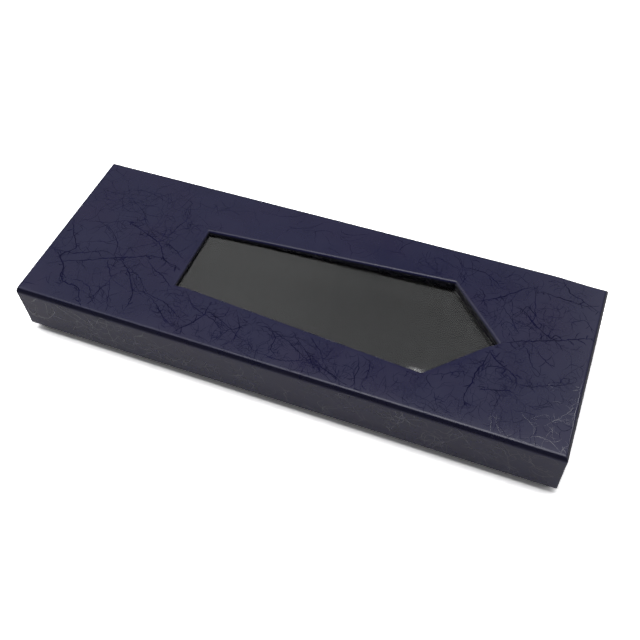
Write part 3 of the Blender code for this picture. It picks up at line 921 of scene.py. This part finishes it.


# Embossed threads

# The paper's threads, drawn over the photograph: a width class, then pixels of its
# 640 x 640 frame. The first list is dark, the second light-coloured, and the third lies on the front side.
# Painted shade and painted highlight: the first list's threads get a near-black colour and the second and third lists'
# threads a light one, for the same threads in shade and in the light.
SHADE_PAINTED_LEADS_PX = (
    (3, ((127, 221), (139, 228), (150, 236), (159, 243), (162, 251), (165, 260), (176, 266), (185, 274))),
    (2, ((50, 248), (63, 251), (77, 253), (103, 251), (115, 256))),
    (3, ((48, 263), (60, 261), (85, 260), (107, 258), (131, 257), (149, 256), (162, 258), (170, 265), (184, 271))),
    (3, ((119, 259), (123, 263), (128, 271), (131, 283), (132, 294), (128, 304), (124, 310))),
    (3, ((77, 219), (74, 235), (76, 247), (61, 255), (63, 265), (61, 277), (66, 283), (77, 287), (79, 296), (80, 304))),
    (2, ((66, 264), (63, 271), (61, 280), (58, 287))),
    (2, ((71, 279), (79, 280), (89, 287), (90, 296), (94, 302), (95, 307))),
    (2, ((121, 273), (117, 273), (110, 279), (109, 290), (107, 302), (107, 311))),
    (2, ((111, 279), (99, 290), (93, 297), (91, 302))),
    (2, ((107, 259), (109, 271), (112, 277))),
    (2, ((131, 271), (137, 289), (143, 292), (154, 297), (164, 302), (174, 312), (184, 323))),
    (2, ((143, 292), (151, 298), (158, 307), (164, 318), (176, 329))),
    (2, ((127, 263), (133, 271), (139, 277), (143, 287), (143, 293))),
    (2, ((147, 259), (154, 269), (162, 275), (168, 283), (172, 289))),
    (1, ((158, 292), (172, 289), (180, 291), (184, 296))),
    (2, ((184, 287), (188, 296), (194, 306), (202, 313), (210, 318), (220, 324), (230, 328))),
    (3, ((214, 298), (208, 308), (203, 315), (190, 323), (178, 329), (168, 332))),
    (2, ((210, 312), (215, 316), (224, 316), (229, 308), (228, 301))),
    (1, ((79, 219), (103, 222), (127, 221), (139, 225))),
    (1, ((95, 196), (113, 200), (131, 198), (147, 203))),
    (2, ((107, 225), (115, 235), (117, 245), (115, 255), (119, 263))),
    (1, ((79, 243), (95, 241), (113, 244), (123, 249))),
    (1, ((119, 249), (137, 247), (154, 243), (162, 241))),
    (2, ((162, 241), (170, 235), (178, 227), (192, 215))),
    (1, ((166, 251), (176, 253), (188, 247), (198, 239))),
    (2, ((159, 243), (172, 247), (184, 259), (194, 263))),
    (1, ((131, 198), (143, 211), (147, 225), (156, 237))),
    (1, ((107, 190), (123, 194), (139, 190), (158, 196), (174, 207))),
    (2, ((206, 310), (218, 318), (230, 328), (239, 338), (247, 342))),
    (2, ((218, 338), (228, 330), (237, 328), (247, 324))),
    (2, ((236, 310), (239, 326), (234, 338), (226, 344))),
    (2, ((239, 312), (249, 310), (257, 316), (275, 332), (291, 344), (305, 358), (315, 366), (328, 381))),
    (2, ((257, 326), (269, 328), (275, 338), (271, 348), (277, 358))),
    (2, ((293, 328), (297, 338), (305, 350), (311, 360), (313, 370))),
    (1, ((267, 338), (283, 336), (299, 338), (313, 346))),
    (2, ((253, 350), (267, 356), (283, 360), (301, 360), (315, 354))),
    (1, ((236, 348), (249, 356), (261, 362))),
    (1, ((293, 370), (303, 362), (317, 358), (328, 360))),
    (2, ((300, 346), (312, 356), (324, 369), (339, 381))),
    (2, ((312, 338), (317, 346), (322, 356))),
    (2, ((300, 362), (314, 364), (327, 371), (341, 381))),
    (2, ((357, 352), (359, 367), (354, 379), (353, 390))),
    (2, ((359, 354), (369, 362), (367, 375), (359, 387))),
    (1, ((371, 356), (373, 367), (367, 377))),
    (2, ((396, 363), (406, 371), (416, 374), (427, 371))),
    (2, ((427, 373), (428, 383), (434, 388))),
    (3, ((490, 350), (484, 362), (476, 372), (471, 383), (465, 394), (464, 399), (469, 408))),
    (2, ((431, 375), (447, 373), (461, 371), (469, 373))),
    (2, ((476, 375), (490, 366), (502, 368), (512, 373), (517, 383), (514, 392))),
    (2, ((480, 389), (496, 390), (510, 391), (519, 400))),
    (1, ((495, 391), (497, 403), (492, 413), (493, 426))),
    (2, ((512, 381), (529, 387), (541, 386), (563, 385), (578, 381))),
    (3, ((484, 342), (492, 354), (496, 360), (506, 369))),
    (1, ((439, 405), (447, 411), (456, 416))),
    (3, ((495, 343), (524, 341), (545, 341), (563, 340), (594, 338))),
    (2, ((561, 281), (571, 293), (586, 303), (600, 314))),
    (2, ((541, 291), (563, 299), (582, 305), (594, 311))),
    (3, ((480, 301), (496, 298), (508, 295), (524, 289), (533, 287))),
    (2, ((480, 287), (485, 297), (478, 307), (477, 317))),
    (2, ((512, 318), (518, 316), (527, 307), (535, 316), (527, 326), (518, 324))),
    (3, ((516, 307), (524, 311), (535, 324), (545, 334), (557, 342), (563, 350))),
    (1, ((565, 322), (576, 322), (584, 320), (590, 327), (594, 336))),
    (2, ((537, 352), (545, 360), (553, 368))),
    (2, ((522, 342), (529, 354), (531, 364), (541, 375))),
    (1, ((453, 256), (463, 267), (461, 279), (473, 287))),
    (1, ((416, 264), (431, 258), (443, 260), (459, 269), (476, 271))),
    (2, ((463, 267), (480, 271), (494, 279), (504, 291))),
    (1, ((422, 252), (431, 267), (443, 275))),
    (1, ((508, 295), (504, 307), (512, 320), (516, 334))),
    (2, ((535, 287), (535, 301), (537, 318), (545, 328))),
    (1, ((524, 403), (537, 409), (547, 407), (555, 409))),
    (1, ((402, 401), (414, 395), (431, 403), (435, 411))),
)
HIGHLIGHT_PAINTED_LEADS_PX = (
    (3, ((583, 377), (580, 388), (578, 397), (576, 407), (574, 413), (572, 423), (570, 434), (568, 446),
         (565, 457))),
    (2, ((551, 423), (555, 420), (558, 419), (562, 422))),
    (2, ((559, 419), (566, 414), (569, 411), (572, 408), (577, 409))),
    (1, ((554, 423), (560, 421), (566, 423), (571, 425))),
    (1, ((547, 425), (552, 430), (549, 433), (546, 437), (542, 442))),
    (1, ((551, 432), (553, 427), (552, 434), (554, 441))),
    (2, ((524, 438), (534, 436), (545, 439), (551, 442), (557, 449), (564, 456))),
    (2, ((564, 441), (567, 446), (563, 448), (561, 454))),
    (2, ((561, 444), (565, 452), (567, 459))),
    (1, ((504, 436), (512, 439), (524, 444), (535, 448), (547, 449))),
    (1, ((530, 419), (538, 416), (545, 415), (553, 418))),
    (1, ((543, 426), (549, 424), (555, 421), (567, 419), (573, 416))),
    (1, ((522, 412), (526, 419), (533, 425), (537, 432))),
    (1, ((541, 387), (548, 386), (556, 388))),
    (1, ((551, 402), (556, 401), (562, 404))),
    (1, ((490, 413), (492, 421), (491, 430), (493, 441))),
    (1, ((497, 414), (496, 424), (501, 433))),
    (1, ((569, 407), (573, 404), (575, 398))),
)
FRONT_LEADS_PX = (
    (2, ((32, 302), (40, 299), (50, 305), (54, 313), (48, 318), (36, 316), (30, 308))),
    (1, ((40, 298), (46, 306), (48, 316))),
    (2, ((50, 302), (65, 312), (79, 322), (93, 332))),
    (2, ((75, 306), (85, 316), (95, 328), (105, 334))),
    (2, ((105, 314), (107, 328), (115, 344))),
    (1, ((87, 318), (105, 324), (123, 328), (139, 338))),
    (1, ((131, 336), (147, 338), (158, 346), (170, 358))),
    (1, ((143, 350), (158, 348), (174, 344), (188, 344))),
    (1, ((178, 342), (198, 354), (214, 364), (228, 376))),
    (1, ((210, 356), (230, 358), (245, 366), (257, 377))),
    (2, ((341, 395), (351, 405), (359, 416), (365, 422))),
    (2, ((402, 411), (398, 422), (388, 429))),
    (2, ((427, 444), (447, 442), (463, 436), (476, 438), (484, 442))),
    (2, ((480, 438), (496, 444), (506, 454), (509, 467), (506, 473))),
    (1, ((312, 389), (329, 397), (345, 413))),
    (1, ((367, 420), (382, 424), (396, 436), (410, 444))),
    (1, ((443, 424), (455, 428), (471, 446), (484, 456))),
    (1, ((414, 424), (431, 434), (443, 444))),
    (1, ((516, 450), (524, 460), (541, 469), (553, 479))),
    (1, ((484, 456), (500, 462), (516, 471))),
    (2, ((529, 456), (535, 467), (549, 473))),
)

THREAD_WIDTHS = {1: 0.50 * MM, 2: 0.75 * MM, 3: 1.05 * MM}
THREAD_STEP = 1.0 * MM
THREAD_RISE_SHARE = 0.10
THREAD_SINK = 0.02 * MM
THREAD_WOBBLES = ((7 * MM, 0.55 * MM), (2.4 * MM, 0.80 * MM), (1.1 * MM, 0.30 * MM))
KINK_SHARE = 0.22
KINK_TURN = 0.75
TWIG_SHARE = 0.20
TWIG_LENGTH = 4 * MM
PHOTO_SIZE = 640
PROBE = 0.2 * MM


def lid_lengths():
    """Distance along the paper from the top's flat part, with the inset and drop reached there."""
    table = [(0.0, *FOLD[0])]
    for inset, drop in FOLD[1:]:
        length, last_inset, last_drop = table[-1]
        table.append((length + math.hypot(inset - last_inset, drop - last_drop), inset, drop))
    foot = LID_TOP_Z - LID_RIM_Z
    table.append((table[-1][0] + foot - FOLD_DROP, 0.0, foot))
    return table


LID_TABLE = lid_lengths()
FOLD_LENGTH = LID_TABLE[-2][0]
LID_SIDE_LENGTH = LID_TABLE[-1][0]
FLAT_HALF = LID_HALF - Vector((FOLD_WIDTH, FOLD_WIDTH))


def down_the_side(length):
    """The inset and drop at a distance along the paper."""
    for (start, inset, drop), (end, next_inset, next_drop) in zip(LID_TABLE, LID_TABLE[1:]):
        if length <= end:
            share = (length - start) / (end - start)
            return inset + (next_inset - inset) * share, drop + (next_drop - drop) * share
    return LID_TABLE[-1][1:]


def lid_place(u, v):
    """The lid's outer surface at u, v on the unfolded paper, whose middle is the lid's middle."""
    over_x = abs(u) - FLAT_HALF.x
    over_y = abs(v) - FLAT_HALF.y
    if over_x <= 0 and over_y <= 0:
        return settled((u, v, LID_TOP_Z))
    if over_y > over_x:
        inset, drop = down_the_side(over_y)
        return settled((u, math.copysign(LID_HALF.y - inset, v), LID_TOP_Z - drop))
    inset, drop = down_the_side(over_x)
    return settled((math.copysign(LID_HALF.x - inset, u), v, LID_TOP_Z - drop))


def on_lid_paper(u, v):
    """True where a thread can show: off the corners, the rim and the window."""
    margin = 1.2 * MM
    over_x = abs(u) - FLAT_HALF.x
    over_y = abs(v) - FLAT_HALF.y
    if max(over_x, over_y) > LID_SIDE_LENGTH - margin:
        return False
    if over_x > 0 and over_y > 0:
        return False
    clear = 0.8 * WINDOW_FOLD_RADIUS
    if WINDOW_END_X - clear < u < WINDOW_POINT_X + clear:
        return abs(v) > window_half_width(u, clear)
    return True


def on_lid_side(u, v):
    over_x = abs(u) - FLAT_HALF.x
    over_y = abs(v) - FLAT_HALF.y
    return max(over_x, over_y) > 0.8 * FOLD_LENGTH and on_lid_paper(u, v)


def pixel_on_paper(px, py):
    """The point of the unfolded paper that the photograph shows at a pixel."""
    turn = bpy.context.scene.camera.matrix_world.to_3x3()
    focal = PHOTO_SIZE * LENS_MM / SENSOR_MM
    ray = turn @ Vector((px - PHOTO_SIZE / 2, PHOTO_SIZE / 2 - py, -focal))
    top = EYE + ray * (LID_TOP_Z - EYE.z) / ray.z
    if top.y > -FLAT_HALF.y:
        return Vector((top.x, top.y))
    side = EYE + ray * (-LID_HALF.y - EYE.y) / ray.y
    drop = max(LID_TOP_Z - side.z, 0)
    if drop < FOLD_DROP:
        return Vector((side.x, -FLAT_HALF.y - FOLD_LENGTH * drop / FOLD_DROP))
    return Vector((side.x, -FLAT_HALF.y - FOLD_LENGTH - (drop - FOLD_DROP)))


def curve_through(points, step):
    """Points a step apart on a smooth curve through the given ones."""
    ends = [2 * points[0] - points[1]] + points + [2 * points[-1] - points[-2]]
    path = []
    for a, b, c, d in zip(ends, ends[1:], ends[2:], ends[3:]):
        pieces = max(1, round((c - b).length / step))
        for number in range(pieces):
            t = number / pieces
            path.append(0.5 * (2 * b + (c - a) * t + (2 * a - 5 * b + 4 * c - d) * t * t
                               + (3 * b - a - 3 * c + d) * t ** 3))
    path.append(points[-1])
    return path


def wander(rng, start, heading, length, bend):
    """A thread that strays from its heading, in paper coordinates."""
    path = [start]
    turn = rng.gauss(0, bend)
    for _ in range(int(length / THREAD_STEP)):
        turn = 0.93 * turn + rng.gauss(0, bend * 0.45)
        kink = rng.gauss(0, KINK_TURN) if rng.random() < KINK_SHARE else 0
        heading += turn + kink
        path.append(path[-1] + THREAD_STEP * Vector((math.cos(heading), math.sin(heading))))
    return path


def surface_frame(place, u, v):
    """The point and the outward normal of a surface at paper coordinates."""
    along_u = place(u + PROBE, v) - place(u - PROBE, v)
    along_v = place(u, v + PROBE) - place(u, v - PROBE)
    return place(u, v), along_u.cross(along_v).normalized()


class Emboss:
    """A mesh of low ridges along threads, on a surface given by its place and its bounds."""

    def __init__(self, place, inside):
        self.place = place
        self.inside = inside
        self.bm = bmesh.new()

    def add(self, path, width):
        run = []
        for point in path:
            if self.inside(point.x, point.y):
                run.append(point)
                continue
            self.ridge(run, width)
            run = []
        self.ridge(run, width)

    def ridge(self, run, width):
        if len(run) < 4:
            return
        last = None
        for index, point in enumerate(run):
            share = index / (len(run) - 1)
            ahead = run[min(index + 1, len(run) - 1)] - run[max(index - 1, 0)]
            side = Vector((-ahead.y, ahead.x)).normalized()
            swell = 0.85 + 0.4 * noise.noise(Vector((point.x / 0.004, point.y / 0.004, 2.5)))
            half = width / 2 * swell * (0.3 + 0.7 * math.sin(math.pi * share) ** 0.6)
            centre, normal = surface_frame(self.place, point.x, point.y)
            row = []
            for across, rise in ((-half, -THREAD_SINK), (0, 2 * half * THREAD_RISE_SHARE),
                                 (half, -THREAD_SINK)):
                place = point + side * across
                base = centre if across == 0 else self.place(place.x, place.y)
                row.append(self.bm.verts.new(base + normal * rise))
            if last:
                self.bm.faces.new((last[1], last[0], row[0], row[1]))
                self.bm.faces.new((last[2], last[1], row[1], row[2]))
            last = row

    def finish(self, name, material, body):
        piece = new_piece(name, self.bm, material, body)
        piece.data.shade_smooth()
        return piece


def wobbled(path, seed):
    """A drawn thread with a waver, so that it isn't a ruler-smooth curve."""
    for size, reach in THREAD_WOBBLES:
        moved = []
        for point in path:
            sample = Vector((point.x / size, point.y / size, seed))
            moved.append(point + reach * Vector((noise.noise(sample), noise.noise(sample.zyx))))
        path = moved
    return path


# Where finer threads fill in: the middle and half spread on the paper in millimetres, how many,
# their length in millimetres, their width class, and how far they bend at each step
FILL_PATCHES = (
    ((-135, 38), (50, 24), 85, 26, 1, 0.04),
    ((-145, -8), (40, 28), 70, 22, 1, 0.05),
    ((-120, -48), (60, 14), 45, 18, 1, 0.06),
    ((-55, -47), (34, 16), 120, 11, 1, 0.10),
    ((10, -52), (40, 12), 130, 11, 1, 0.12),
    ((135, -28), (24, 11), 50, 10, 1, 0.12),
    ((148, 24), (20, 10), 40, 10, 1, 0.12),
    ((80, -55), (40, 9), 45, 12, 1, 0.10),
    ((140, 35), (42, 26), 110, 14, 1, 0.12),
    ((150, -18), (36, 32), 110, 15, 1, 0.10),
    ((60, 52), (50, 10), 18, 22, 1, 0.05),
    ((-20, 50), (50, 12), 12, 26, 1, 0.04),
    ((125, -50), (45, 12), 30, 18, 1, 0.08),
)
FINE_SHARE = 0.5


def fill_patch(emboss, rng, patch):
    (middle_u, middle_v), (spread_u, spread_v), count, length, width_class, bend = patch
    for _ in range(count):
        start = MM * Vector((middle_u + rng.uniform(-1, 1) * spread_u,
                             middle_v + rng.uniform(-1, 1) * spread_v))
        heading = rng.uniform(0, math.tau)
        path = wander(rng, start, heading, rng.uniform(0.5, 1.4) * length * MM, bend)
        width = THREAD_WIDTHS[width_class] * rng.uniform(FINE_SHARE, 1)
        emboss.add(path, width)
        if rng.random() < 0.5:
            fork = path[len(path) // 2]
            branch = wander(rng, fork, heading + rng.choice((-1, 1)) * rng.uniform(0.5, 1.2),
                            0.5 * length * MM, bend)
            emboss.add(branch, width * 0.8)


def fill_sides(emboss, rng, half, near, far, count, length):
    """Pale threads down the four sides, running mostly along them."""
    for sign in (-1, 1):
        for _ in range(count):
            start = Vector((rng.uniform(-half.x, half.x), sign * rng.uniform(near, far)))
            heading = rng.gauss(0, 0.5) + rng.choice((0, math.pi))
            path = wander(rng, start, heading, rng.uniform(0.5, 1.4) * length, 0.07)
            emboss.add(path, THREAD_WIDTHS[1] * rng.uniform(FINE_SHARE, 1.2))
        for _ in range(round(count * half.y / half.x)):
            start = Vector((sign * (rng.uniform(near, far) + half.x - half.y),
                            rng.uniform(-half.y, half.y)))
            heading = math.pi / 2 + rng.gauss(0, 0.5) + rng.choice((0, math.pi))
            path = wander(rng, start, heading, rng.uniform(0.5, 1.4) * length, 0.07)
            emboss.add(path, THREAD_WIDTHS[1] * rng.uniform(FINE_SHARE, 1.2))


def add_leads(emboss, leads, rng, slimmer=1.0):
    """The drawn threads, with twigs where the embossing has broken up."""
    for number, (width_class, pixels) in enumerate(leads):
        path = curve_through([pixel_on_paper(*pixel) for pixel in pixels], THREAD_STEP)
        path = wobbled(path, number)
        width = THREAD_WIDTHS[width_class] * slimmer
        emboss.add(path, width)
        for point, following in zip(path, path[1:]):
            if rng.random() > TWIG_SHARE:
                continue
            ahead = following - point
            heading = math.atan2(ahead.y, ahead.x) + rng.choice((-1, 1)) * rng.uniform(0.5, 1.3)
            twig = wander(rng, point, heading, TWIG_LENGTH * rng.uniform(0.6, 2), 0.10)
            emboss.add(twig, width * 0.75)


def top_threads(material):
    emboss = Emboss(lid_place, on_lid_paper)
    rng = random.Random(41)
    add_leads(emboss, SHADE_PAINTED_LEADS_PX, rng)
    for patch in FILL_PATCHES:
        fill_patch(emboss, rng, patch)
    emboss.finish("lid_top_threads", material, "lid")


def side_threads(material):
    emboss = Emboss(lid_place, on_lid_paper)
    rng = random.Random(52)
    add_leads(emboss, HIGHLIGHT_PAINTED_LEADS_PX, rng, slimmer=0.42)
    emboss.inside = on_lid_side
    add_leads(emboss, FRONT_LEADS_PX, rng, slimmer=0.8)
    near = FLAT_HALF.y + FOLD_LENGTH
    far = FLAT_HALF.y + LID_SIDE_LENGTH
    fill_sides(emboss, rng, LID_HALF, near, far, 190, 22 * MM)
    emboss.finish("lid_side_threads", material, "lid")


def tray_place(u, v):
    """The tray's outside at u, v on its unfolded paper, which starts flat under the tray."""
    if abs(v) > abs(u) - BASE_HALF.x + BASE_HALF.y:
        return Vector((u, math.copysign(BASE_HALF.y, v), BASE_LOW.z + abs(v) - BASE_HALF.y))
    return Vector((math.copysign(BASE_HALF.x, u), v, BASE_LOW.z + abs(u) - BASE_HALF.x))


def on_tray_paper(u, v):
    margin = 1.0 * MM
    over_x = abs(u) - BASE_HALF.x
    over_y = abs(v) - BASE_HALF.y
    if max(over_x, over_y) > BASE_HIGH.z - BASE_LOW.z - margin or max(over_x, over_y) < margin:
        return False
    return min(over_x, over_y) < -CORNER_RADIUS - margin / 2


def tray_threads(material):
    emboss = Emboss(tray_place, on_tray_paper)
    rng = random.Random(77)
    height = BASE_HIGH.z - BASE_LOW.z
    fill_sides(emboss, rng, BASE_HALF, BASE_HALF.y + 1 * MM, BASE_HALF.y + height - 1 * MM,
               150, 26 * MM)
    emboss.finish("tray_threads", material, "base")


# The pad in the tray

PAD_ROWS = 40
PAD_COLUMNS = 110
PAD_CROWN = 0.5 * MM


def flocked_pad(material):
    """A foam sheet with a soft flocked skin: rounded edges, a slight crown, sides drawn in."""
    half_x = PAD_HIGH.x
    half_y = PAD_HIGH.y
    height = PAD_HIGH.z - PAD_LOW.z
    bm = bmesh.new()
    rings = []
    layers = 6
    for layer in range(layers + 1):
        share = layer / layers
        bulge = 1 - (2 * share - 1) ** 4
        inset = 0.9 * MM * (1 - bulge)
        corners = [Vector((sx * (half_x - inset), sy * (half_y - inset)))
                   for sx, sy in ((-1, -1), (1, -1), (1, 1), (-1, 1))]
        rings.append(outline_points(corners, (120, 40, 120, 40), 0, 2.5 * MM,
                                    PAD_LOW.z + (height - PAD_CROWN) * share))
    for inset in (1.5, 3, 6, 12, 24, 48):
        loop = []
        for point in rings[layers]:
            reach = Vector((point.x, point.y))
            x = math.copysign(max(abs(reach.x) - inset * MM, 0), reach.x)
            y = math.copysign(max(abs(reach.y) - inset * MM, 0), reach.y)
            crown = PAD_CROWN * (1 - math.exp(-inset / 6))
            wave = noise.noise(Vector((x / 0.05, y / 0.05, 8.1)))
            z = PAD_HIGH.z - PAD_CROWN + crown * (0.75 + 0.25 * wave)
            loop.append(Vector((x, y, z)))
        rings.append(loop)
    made = skin(bm, rings)
    bm.faces.new(list(reversed(made[0])))
    bm.faces.new(made[-1])
    piece = new_piece("flocked_pad", bm, material, "base")
    smooth_folds(piece, 60)
    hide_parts("tie_pad")


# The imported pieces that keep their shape

def dress_nodes(boards):
    stays = kraft()
    lining = black_lining()
    looks = {"film_tape": white_tape(), "base_bottom_sheet": bottom_cover(),
             "lid_liner": lining, "base_liner": lining}
    for name, node in NODES.items():
        if name.endswith("_board"):
            looks[name] = boards
        if "_stay_" in name:
            looks[name] = stays
        if name in looks:
            for slot in node.material_slots:
                slot.material = looks[name]


bpy.context.scene.view_settings.view_transform = 'Standard'
add_camera()
add_floor()
add_softbox()
add_world()
covering = leatherette()
lid_covering(covering)
tray_covering(covering)
bowed_film(clear_film())
top_threads(thread_painted_shade())
highlit_threads = thread_painted_highlight()
side_threads(highlit_threads)
tray_threads(highlit_threads)
flocked_pad(black_flock())
boards = greyboard()
bevelled_board(boards)
dress_nodes(boards)
